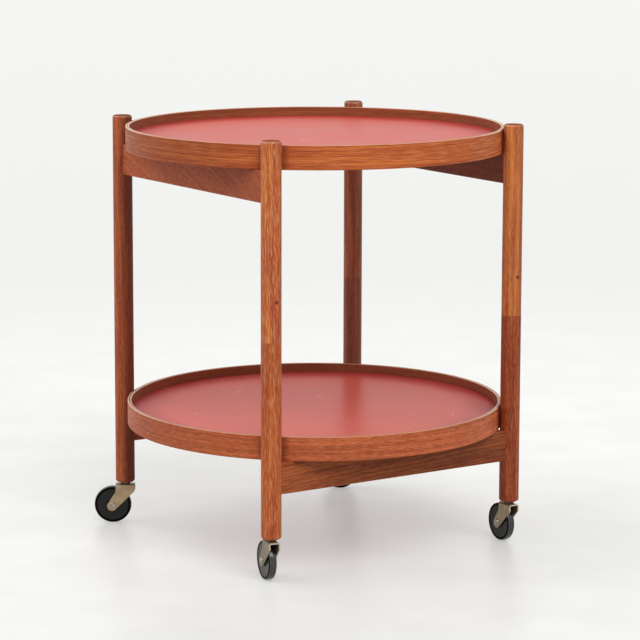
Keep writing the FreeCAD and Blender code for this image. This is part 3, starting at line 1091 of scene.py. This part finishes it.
def rivet_tree() -> NodeTree:
    """Make the tree that sets a rolled rivet head on both sides of a fork.

    Returns:
        The tree.
    """
    tree, given = new_tree("rivet_heads", ("Head radius", "Head height", "Roll", "Eye share", "Spacing",
                                           "Turn"))
    sizes = given.outputs
    ring_r = add(tree, "ShaderNodeMath", {0: sizes["Head radius"], 1: sizes["Roll"]},
                 operation="SUBTRACT")
    ring = add(tree, "GeometryNodeCurvePrimitiveCircle", {"Resolution": sizes["Steps"], "Radius": ring_r})
    roll = add(tree, "GeometryNodeCurvePrimitiveCircle", {"Resolution": ROLL_STEPS,
                                                          "Radius": sizes["Roll"]})
    ring = add(tree, "GeometryNodeCurveToMesh", {"Curve": ring, "Profile Curve": roll})
    squash = add(tree, "ShaderNodeMath", {0: sizes["Head height"], 1: sizes["Roll"]}, operation="DIVIDE")
    squash = add(tree, "ShaderNodeCombineXYZ", {"X": 1.0, "Y": 1.0, "Z": squash})
    ring = add(tree, "GeometryNodeTransform", {"Geometry": ring, "Scale": squash})

    # The eye is a low dome that fills the ring
    eye = add(tree, "GeometryNodeMeshUVSphere", {"Segments": sizes["Steps"], "Rings": EYE_RINGS,
                                                 "Radius": ring_r})
    low_dome = add(tree, "ShaderNodeCombineXYZ", {"X": 1.0, "Y": 1.0, "Z": sizes["Eye share"]})
    eye = add(tree, "GeometryNodeTransform", {"Geometry": eye, "Scale": low_dome})
    head = add(tree, "GeometryNodeJoinGeometry")
    for part in (ring, eye):
        tree.links.new(part.outputs[0], head.inputs[0])
    head = add(tree, "GeometryNodeTransform", {"Geometry": head, "Rotation": (math.pi / 2, 0.0, 0.0)})

    half = add(tree, "ShaderNodeMath", {0: sizes["Spacing"], 1: -0.5}, operation="MULTIPLY")
    start = add(tree, "ShaderNodeCombineXYZ", {"Y": half})
    step = add(tree, "ShaderNodeCombineXYZ", {"Y": sizes["Spacing"]})
    seats = add(tree, "GeometryNodeMeshLine", {"Count": 2, "Start Location": start, "Offset": step})
    heads = add(tree, "GeometryNodeInstanceOnPoints", {"Points": seats, "Instance": head})
    turn = add(tree, "ShaderNodeCombineXYZ", {"Z": sizes["Turn"]})
    heads = add(tree, "GeometryNodeTransform", {"Geometry": heads, "Rotation": turn})
    close_tree(tree, heads, given)
    return tree


def grown(name: str, tree: NodeTree, sizes: dict[str, Any]) -> Object:
    """Run a geometry tree and keep what it makes as a plain mesh.

    Args:
        name: The new piece's name.
        tree: The geometry tree.
        sizes: The value of each named input.

    Returns:
        The piece, with no modifier on it.
    """
    piece = bpy.data.objects.new(name, bpy.data.meshes.new(name + "_seed"))
    bpy.context.scene.collection.objects.link(piece)
    modifier = piece.modifiers.new("tree", "NODES")
    modifier.node_group = tree
    for socket in tree.interface.items_tree:
        if socket.in_out == "INPUT":
            modifier[socket.identifier] = sizes[socket.name]
    evaluated = piece.evaluated_get(bpy.context.evaluated_depsgraph_get())
    mesh = bpy.data.meshes.new_from_object(evaluated)
    piece.modifiers.remove(modifier)
    seed = piece.data
    piece.data = mesh
    bpy.data.meshes.remove(seed)
    mesh.name = name
    face_outwards(mesh)
    weigh_normals(mesh)
    return piece


def face_outwards(mesh: Mesh) -> None:
    """Turn the faces of a closed mesh outwards.

    Args:
        mesh: A closed mesh.
    """
    shape = bmesh.new()
    shape.from_mesh(mesh)
    bmesh.ops.recalc_face_normals(shape, faces=shape.faces)
    shape.to_mesh(mesh)
    shape.free()


def weigh_normals(mesh: Mesh) -> None:
    """Shade a mesh with rounded edges so that its large faces look flat.

    Each vertex's normal leans to the larger ones of its faces.

    Args:
        mesh: A closed mesh.
    """
    sums = [Vector() for _ in mesh.vertices]
    for face in mesh.polygons:
        face.use_smooth = True
        weight = face.normal * face.area
        for vertex in face.vertices:
            sums[vertex] += weight
    mesh.normals_split_custom_set_from_vertices([total.normalized() for total in sums])


def lathed(name: str, outline: list[tuple[float, float]], steps: int) -> Mesh:
    """Turn a closed outline about the Y axis.

    Args:
        name: The mesh's name.
        outline: Points as (radius, place along the axis), the last joined to the first.
        steps: How many steps go round.

    Returns:
        A closed mesh.
    """
    shape = bmesh.new()
    points = [shape.verts.new((0.0, y, radius)) for radius, y in outline]
    edges = [shape.edges.new((a, b)) for a, b in zip(points, points[1:] + points[:1])]
    bmesh.ops.spin(shape, geom=points + edges, cent=(0, 0, 0), axis=(0, 1, 0), angle=math.tau, steps=steps,
                   use_merge=True)
    bmesh.ops.remove_doubles(shape, verts=shape.verts, dist=TURNED_WELD)
    bmesh.ops.recalc_face_normals(shape, faces=shape.faces)
    mesh = bpy.data.meshes.new(name)
    shape.to_mesh(mesh)
    shape.free()
    weigh_normals(mesh)
    return mesh


@dataclass(frozen=True)
class Register:
    """Knows which body carries each node, and hands finished pieces to the frame."""

    frame: dict

    def body_of(self, node: str) -> str:
        """Return the name of the body that holds a node."""
        bodies = self.frame["record"]["behaviour"]["bodies"]
        return next(body for body, members in bodies.items() if node in members)

    def turn_of(self, joint: str) -> float:
        """Work out how far a wheel's axle is turned about Z from the Y axis.

        Args:
            joint: The name of the joint that the wheel rolls on.

        Returns:
            The turn in radians.
        """
        joints = self.frame["record"]["behaviour"]["joints"]
        axis = next(found["axis"] for found in joints if found["name"] == joint)
        return math.atan2(-axis[0], axis[1])

    def enter(self, piece: Object, slot: Slot, *nodes: str) -> None:
        """Let a new piece ride for the nodes that it stands for.

        Args:
            piece: The finished piece, at the origin.
            slot: The record's material slot. It is not used.
            nodes: The nodes that it replaces, all on one body.
        """
        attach(piece, self.body_of(nodes[0]))
        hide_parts(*nodes)
        LOG.info("%s stands for %s", piece.name, ", ".join(nodes))

    def dress(self, node: str, finish: Finish, slot: Slot) -> None:
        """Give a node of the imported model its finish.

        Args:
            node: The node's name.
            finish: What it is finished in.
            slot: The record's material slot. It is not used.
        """
        finish.dress(self.frame["nodes"][node])
        LOG.info("%s is dressed in %s", node, finish.name)


def middle(node: str) -> Vector:
    """Return the middle of a node's box."""
    low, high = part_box(node)
    return (low + high) / 2


@dataclass(frozen=True)
class Leg:
    """One leg: two turned halves that meet at a seam, the dowel inside, and the pin that locks it."""

    corner: Corner
    upper: OiledTeak
    lower: OiledTeak
    top_round: float = 3.0 * MM
    foot_round: float = 3.5 * MM
    seam_round: float = 0.3 * MM
    steps: int = 96

    def build(self, register: Register, turned: NodeTree, pin: Finish, dowel: Finish) -> None:
        """Make both halves and dress the dowel and the pin.

        Args:
            register: Hands the pieces to the frame.
            turned: The tree that turns a bar.
            pin: The pin's finish.
            dowel: The dowel's finish.
        """
        name = self.corner.value
        halves = ((Level.UPPER, self.upper, Slot.TEAK_UPPER, self.seam_round, self.top_round),
                  (Level.LOWER, self.lower, Slot.TEAK_LOWER, self.foot_round, self.seam_round))
        for half, wood, slot, low_round, high_round in halves:
            node = f"leg_{half.value}_{name}"
            low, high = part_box(node)
            place = ((low.x + high.x) / 2, (low.y + high.y) / 2, 0.0)
            piece = grown(f"turned_{node}", turned, {
                "Radius": (high.x - low.x) / 2, "Low": low.z, "High": high.z, "Low round": low_round,
                "High round": high_round, "Steps": self.steps, "Place": place, "Material": wood.material()})
            register.enter(piece, slot, node)
        register.dress(f"cross_pin_{name}", pin, Slot.DARK_PIN)
        register.dress(f"pivot_dowel_{name}", dowel, Slot.DOWEL_WOOD)


@dataclass(frozen=True)
class Tray:
    """One tray: the bent hoop and the laminated panel in it."""

    level: Level
    figure: Figure
    shift: float
    shade_side: tuple[float, float]
    laminate: RedLaminate
    edge_round: float = 1.0 * MM
    thickness: float = 5.0 * MM
    steps: int = 256

    def build(self, register: Register, bent: NodeTree) -> None:
        """Bend the hoop and dress the panel's sheets and core.

        Args:
            register: Hands the pieces to the frame.
            bent: The tree that bends a hoop.
        """
        name = self.level.value
        node = f"{name}_tray_hoop"
        low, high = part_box(node)
        centre = (low + high) / 2
        radius, height = (high.x - low.x) / 2, high.z - low.z
        wood = BentTeak(name=f"bent_teak_{name}", centre=(0.0, 0.0, centre.z), radius=radius,
                        height=height, thickness=self.thickness, figure=self.figure, shift=self.shift,
                        shade_side=self.shade_side)
        hoop = grown(f"{name}_hoop", bent, {
            "Radius": radius, "Height": height, "Thickness": self.thickness, "Edge": self.edge_round,
            "Steps": self.steps, "Place": (0.0, 0.0, centre.z), "Material": wood.material()})
        register.enter(hoop, Slot.TEAK_HOOP, node)
        register.dress(f"{name}_tray_core", BirchPlywood(), Slot.PLYWOOD)
        for side in ("top", "bottom"):
            register.dress(f"{name}_tray_laminate_{side}", self.laminate, Slot.RED_LAMINATE)


@dataclass(frozen=True)
class Wheel:
    """A moulded wheel: a rounded tread with a mould seam, a rim beside it, and a web sunk within the rim."""

    radius: float = 25.0 * MM
    width: float = 10.4 * MM
    tread_drop: float = 2.2 * MM
    tread_flat: float = 6.0 * MM
    ring: float = 1.0 * MM
    web_sink: float = 0.7 * MM
    slope: float = 1.0 * MM
    hub_radius: float = 7.5 * MM
    bore: float = 4.0 * MM
    seam_width: float = 0.5 * MM
    seam_height: float = 0.15 * MM
    round_steps: int = 8
    steps: int = 96

    def side(self) -> list[tuple[float, float]]:
        """List one side's outline from the bore to the middle of the tread.

        Returns:
            Points as (radius, place along the axle).
        """
        half, flat = self.width / 2, self.tread_flat / 2
        shoulder = self.radius - self.tread_drop
        inner = shoulder - self.ring
        web = half - self.web_sink
        points = [(self.bore, half), (self.hub_radius, half), (self.hub_radius + self.slope, web),
                  (inner - self.slope, web), (inner, half), (shoulder, half)]
        for k in range(1, self.round_steps + 1):
            turn = math.radians(90 * k / self.round_steps)
            points.append((shoulder + self.tread_drop * math.sin(turn),
                           flat + (half - flat) * math.cos(turn)))
        seam = self.seam_width / 2
        return points + [(self.radius, seam * 2), (self.radius + self.seam_height, seam)]

    def mesh(self, name: str) -> Mesh:
        """Turn the whole wheel.

        Args:
            name: The mesh's name.

        Returns:
            A closed mesh about the Y axis, which also holds how far across each point lies.
        """
        side = self.side()
        mesh = lathed(name, side + [(radius, -y) for radius, y in reversed(side)], self.steps)
        across = mesh.attributes.new(ACROSS, "FLOAT", "POINT")
        across.data.foreach_set("value", [vertex.co.y for vertex in mesh.vertices])
        return mesh


@dataclass(frozen=True)
class Caster:
    """One swivel caster: socket, thrust washer, stem, fork, riveted axle, bush and wheel."""

    corner: Corner
    lacquer: str = "#B8A07E"
    dull: str = "#A28B69"
    wheel: Wheel = Wheel()
    rivet_radius: float = 4.1 * MM
    rivet_height: float = 1.4 * MM
    rivet_roll: float = 1.1 * MM
    rivet_eye: float = 0.3
    rivet_steps: int = 32
    fork_width: float = 14.7 * MM
    fork_under: float = 51.7 * MM

    def build(self, register: Register, rivets: NodeTree, zinc: Finish, brass: Finish,
              black: Finish) -> None:
        """Make the wheel and the rivet heads, and dress the pressed and turned parts.

        Args:
            register: Hands the pieces to the frame.
            rivets: The tree that makes rivet heads.
            zinc: The finish of the rivets, the stem and the bush.
            brass: The finish of the socket and the washer.
            black: The wheel's finish.
        """
        name = self.corner.value
        turn = register.turn_of(f"roll_{name}")
        hub = middle(f"caster_wheel_{name}")
        wheel = bpy.data.objects.new(f"wheel_{name}", self.wheel.mesh(f"wheel_{name}"))
        bpy.context.scene.collection.objects.link(wheel)
        wheel.data.transform(Matrix.Translation(hub) @ Matrix.Rotation(turn, 4, "Z"))
        black.dress(wheel)
        register.enter(wheel, Slot.BLACK_WHEEL, f"caster_wheel_{name}")
        heads = grown(f"rivet_heads_{name}", rivets, {
            "Head radius": self.rivet_radius, "Head height": self.rivet_height, "Roll": self.rivet_roll,
            "Eye share": self.rivet_eye, "Spacing": self.fork_width, "Turn": turn,
            "Steps": self.rivet_steps, "Place": tuple(hub), "Material": zinc.material()})
        register.enter(heads, Slot.BRIGHT_STEEL, f"caster_axle_{name}")
        stem = middle(f"caster_stem_{name}")
        lacquer = LacqueredFork(name=f"bronze_lacquer_{name}",
                                centre=(stem.x, stem.y, self.fork_under),
                                axle=(-math.sin(turn), math.cos(turn), 0.0),
                                lacquer=self.lacquer, dull=self.dull)
        register.dress(f"caster_fork_{name}", lacquer, Slot.FORK_STEEL)
        for part, plate in (("socket", brass), ("washer", brass), ("stem", zinc), ("bush", zinc)):
            register.dress(f"caster_{part}_{name}", plate, Slot.BRIGHT_STEEL)


@dataclass(frozen=True)
class Lamp:
    """A soft sun: how wide and strong it is, and how far round and how high it stands, in degrees."""

    name: str
    width: float
    strength: float
    azimuth: float
    height: float

    def hang(self) -> None:
        """Hang the lamp so that it shines at the trolley."""
        sun = bpy.data.lights.new(self.name, "SUN")
        sun.energy = self.strength
        sun.angle = math.radians(self.width)
        holder = bpy.data.objects.new(self.name, sun)
        bpy.context.scene.collection.objects.link(holder)
        azimuth, height = math.radians(self.azimuth), math.radians(self.height)
        back = Vector((math.sin(azimuth) * math.cos(height), -math.cos(azimuth) * math.cos(height),
                       math.sin(height)))
        holder.rotation_mode = "QUATERNION"
        holder.rotation_quaternion = back.to_track_quat("Z", "Y")


@dataclass(frozen=True)
class Studio:
    """The pale floor, the soft lights and the camera, which stands where the photograph was taken.

    Angles are in degrees, the focal length is in pixels of the photograph, and the sensor in millimetres.
    """

    floor_reach: float = 60.0
    lamps: tuple[Lamp, ...] = (Lamp("front_right", width=40.0, strength=1.56, azimuth=-8.0, height=47.0),
                               Lamp("left", width=60.0, strength=1.15, azimuth=-128.0, height=42.0),
                               Lamp("overhead", width=80.0, strength=0.40, azimuth=-33.0, height=80.0))
    wall: str = "#FFFFFD"
    wall_light: float = 0.32
    wall_seen: float = 1.0
    camera_place: tuple[float, float, float] = (-1.9946, -3.049, 0.9275)
    azimuth: float = -33.301
    pitch: float = 9.132
    roll: float = 0.146
    focal_pixels: float = 2772.05
    picture_pixels: float = 640.0
    sensor: float = 36.0
    frame_shift: float = -0.06
    nearest: float = 0.1

    def lay_floor(self) -> None:
        """Lay the floor, which isn't part of the trolley."""
        reach = self.floor_reach
        mesh = bpy.data.meshes.new("floor")
        mesh.from_pydata([(-reach, -reach, 0), (reach, -reach, 0), (reach, reach, 0), (-reach, reach, 0)], [],
                         [(0, 1, 2, 3)])
        floor = bpy.data.objects.new("floor", mesh)
        bpy.context.scene.collection.objects.link(floor)
        StudioFloor().dress(floor)

    def hang_lights(self) -> None:
        """Hang the lamps and light the room's white walls, which the camera sees at full strength."""
        for lamp in self.lamps:
            lamp.hang()
        world = bpy.data.worlds.new("room")
        world.use_nodes = True
        tree = world.node_tree
        tree.nodes.clear()
        strength = add(tree, "ShaderNodeMapRange", {"Value": shown(tree), "To Min": self.wall_light,
                                                    "To Max": self.wall_seen})
        walls = add(tree, "ShaderNodeBackground", {"Color": linear(self.wall), "Strength": strength})
        add(tree, "ShaderNodeOutputWorld", {"Surface": walls})
        bpy.context.scene.world = world

    def place_camera(self) -> None:
        """Set the camera where the photograph was taken."""
        lens = bpy.data.cameras.new("camera")
        lens.sensor_width = self.sensor
        lens.lens = self.sensor * self.focal_pixels / self.picture_pixels
        lens.shift_y = self.frame_shift
        lens.clip_start = self.nearest
        lens.clip_end = 4 * self.floor_reach
        azimuth, pitch, roll = (math.radians(angle) for angle in (self.azimuth, self.pitch, self.roll))
        forward = Vector((-math.sin(azimuth) * math.cos(pitch), math.cos(azimuth) * math.cos(pitch),
                          -math.sin(pitch)))
        right = Vector((math.cos(azimuth), math.sin(azimuth), 0.0))
        up = right.cross(forward)
        turned_right = right * math.cos(roll) + up * math.sin(roll)
        turned_up = up * math.cos(roll) - right * math.sin(roll)
        camera = bpy.data.objects.new("camera", lens)
        bpy.context.scene.collection.objects.link(camera)
        axes = Matrix((turned_right, turned_up, -forward)).transposed()
        camera.matrix_world = Matrix.Translation(self.camera_place) @ axes.to_4x4()
        bpy.context.scene.camera = camera


def leg_woods(corner: Corner) -> tuple[OiledTeak, OiledTeak]:
    """Choose the teak of a leg's two halves, which come from different planks.

    Args:
        corner: The leg's corner.

    Returns:
        The woods of the upper and the lower half.
    """
    red = Figure("#E4803E", "#BE5A34", "#7C3620", "#EEB88A", fibre_show=0.38, fleck_show=0.42,
                 band=(5.0, 160.0), fibre=(1.1, 80.0), pore=(0.9, 13.0))
    ruddy = replace(red, pale="#D47038", warm="#BA5527", fleck="#E4AA80", fleck_show=0.40)
    golden = Figure("#EC8E48", "#B8562C", "#86442A", "#F0AC7C", fibre_show=0.34, pore_show=0.36,
                    fleck_show=0.28, band=(6.5, 160.0), fibre=(1.0, 70.0), pore=(0.9, 10.0))
    deep = Figure("#B85A32", "#984424", "#5A2214", "#C47A54")
    brown = Figure("#C4663A", "#A44C2C", "#4E2014", "#C88058", fibre_show=0.30, pore_show=0.30,
                   fleck_show=0.18)
    dark = Figure("#BC7452", "#9E563C", "#4A2016", "#B0704C", fibre_show=0.26, pore_show=0.30,
                  fleck_show=0.16)
    dusky = replace(dark, pale="#A8644C", warm="#8C5440", dark="#42201A", fleck="#9A6048")
    # Painted shade darkens the sides of some legs that face away from the light
    away_from_light = (0.84, -0.55)
    upper = {
        Corner.FRONT: {"figure": red, "heart": (0.034, 0.012), "slope": (0.02, 0.02), "sway": 5 * MM},
        Corner.RIGHT: {"figure": golden, "heart": (0.022, 0.030), "along": 0.8, "sway": 4 * MM,
                       "shade_side": away_from_light, "shade_share": 0.28},
        Corner.LEFT: {"figure": brown, "heart": (0.040, 0.010), "along": 1.7, "shade_side": away_from_light},
        Corner.BACK: {"figure": dark, "heart": (0.028, 0.024), "along": 2.6},
    }
    lower = {
        Corner.FRONT: {"figure": ruddy, "heart": (-0.03, 0.020), "along": 3.4, "sway": 5 * MM},
        Corner.RIGHT: {"figure": deep, "heart": (-0.022, 0.026), "along": 4.2},
        Corner.LEFT: {"figure": brown, "heart": (0.036, -0.014), "along": 5.1, "shade_side": away_from_light},
        Corner.BACK: {"figure": dusky, "heart": (0.031, 0.017), "along": 6.3},
    }
    woods = []
    for half, planks in ((Level.UPPER, upper), (Level.LOWER, lower)):
        node = f"leg_{half.value}_{corner.value}"
        woods.append(OiledTeak(node, tuple(middle(node)), Grain.Z, **planks[corner]))
    return woods[0], woods[1]


def rail_woods() -> list[tuple[OiledTeak, Slot]]:
    """Choose the teak of the four rails.

    Returns:
        Each rail's wood, which is named for its rail, and its slot.
    """
    fine_grained = Figure("#E27038", "#BC5429", "#6E2E1A", "#E89A6A", fibre_show=0.30, pore_show=0.36,
                          fleck_show=0.30, band=(3.5, 130.0), fibre=(1.0, 60.0), pore=(1.0, 8.0))
    long_grained = Figure("#C66A36", "#A24F29", "#522213", "#D08A5E", fibre_show=0.38, pore_show=0.32,
                          fleck_show=0.22, band=(5.0, 200.0), fibre=(1.2, 110.0), pore=(1.1, 13.0))
    plain = Figure("#8A3E1A", "#763414", "#48200E", "#94542F", fibre_show=0.30, pore_show=0.30,
                   fleck_show=0.12)
    # The slanted and the level rails are painted darker on one side, as shade
    slanted = {"figure": fine_grained, "heart": (0.02, 0.30), "slope": (-0.42, 0.0),
               "ring_step": 3.3 * MM, "ring_show": 0.56, "sway": 2 * MM, "shade_side": (0.0, -0.05),
               "shade_share": 0.25}
    level = {"figure": long_grained, "heart": (0.28, 0.02), "slope": (0.0, 0.05), "ring_show": 0.30,
             "sway": 14 * MM, "shade_side": (0.05, 0.0), "shade_share": 0.46}
    brown = {"figure": plain, "heart": (0.02, 0.26), "ring_show": 0.15}
    choices = (("rail_upper_left", Grain.Y, slanted, 0.0, Slot.TEAK_UPPER),
               ("rail_upper_right", Grain.Y, brown, 1.3, Slot.TEAK_UPPER),
               ("rail_lower_front", Grain.X, level, 2.2, Slot.TEAK_LOWER),
               ("rail_lower_back", Grain.X, level, 3.9, Slot.TEAK_LOWER))
    return [(OiledTeak(name, tuple(middle(name)), grain, along=along, **plank), slot)
            for name, grain, plank, along, slot in choices]


def trays() -> list[Tray]:
    """Choose the teak of the two hoops, which is straight grained so that it bends.

    Returns:
        The lower and the upper tray.
    """
    long_marks = {"band": (4.6, 260.0), "fibre": (1.3, 150.0), "fibre_show": 0.34}
    lower = Figure("#D87042", "#BE5E36", pore=(1.1, 9.0), pore_show=0.40, fleck_show=0.18, **long_marks)
    upper = Figure("#E0783A", "#BC592D", fleck="#F0A068", pore=(1.2, 24.0), pore_show=0.34, fleck_show=0.30,
                   **long_marks)
    # The lower tray's laminate is a lighter red: painted light, for the light that reaches under the upper
    # tray
    upper_laminate = RedLaminate("red_laminate_upper", red="#C64E44", faded="#CE5A4C")
    faded = RedLaminate("red_laminate_lower_lit", red="#D05A4E", faded="#D86A5C")
    # Each hoop is painted darker on its side towards minus X, as shade
    return [Tray(Level.LOWER, lower, shift=0.4, shade_side=(-0.85, 0.1), laminate=faded),
            Tray(Level.UPPER, upper, shift=1.9, shade_side=(-1.0, 0.1), laminate=upper_laminate)]


def main() -> None:
    """Build the trolley's looks and the studio."""
    logging.basicConfig(level=logging.INFO, format="%(name)s: %(message)s")
    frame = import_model()
    bpy.context.view_layer.update()
    register = Register(frame)
    bpy.context.scene.view_settings.view_transform = "Standard"

    turned, bent, rivets = turned_tree(), hoop_tree(), rivet_tree()
    blackened = Plated("blackened_steel", bright="#84503A", dull="#4A2218", roughness=0.4, metallic=0.0,
                       mottle=1.2, specular=0.15)
    zinc = Plated("zinc_plated_steel", bright="#B9B1A2", dull="#7E7464", roughness=0.30, metallic=0.85,
                  mottle=1.6)
    # A dark brass plate on the sockets and washers
    brass = Plated("dark_brass_plate", bright="#5E5036", dull="#3C3020", roughness=0.42,
                   metallic=0.6, mottle=3.0)
    black = MouldedBlack()
    beech = TurnedBeech()

    for corner in Corner:
        upper, lower = leg_woods(corner)
        Leg(corner, upper, lower).build(register, turned, blackened, beech)
    for wood, slot in rail_woods():
        register.dress(wood.name, wood, slot)
    for tray in trays():
        tray.build(register, bent)
    # Painted shade: the lacquer of the front and right casters is darker than that of the others, and the
    # right one's is greyer
    for caster in (Caster(Corner.LEFT), Caster(Corner.FRONT, lacquer="#86765B", dull="#6F5F45"),
                   Caster(Corner.RIGHT, lacquer="#B1A081", dull="#968668"), Caster(Corner.BACK)):
        caster.build(register, rivets, zinc, brass, black)

    studio = Studio()
    studio.lay_floor()
    studio.hang_lights()
    studio.place_camera()
    bpy.context.view_layer.update()


if __name__ == "__main__":
    main()
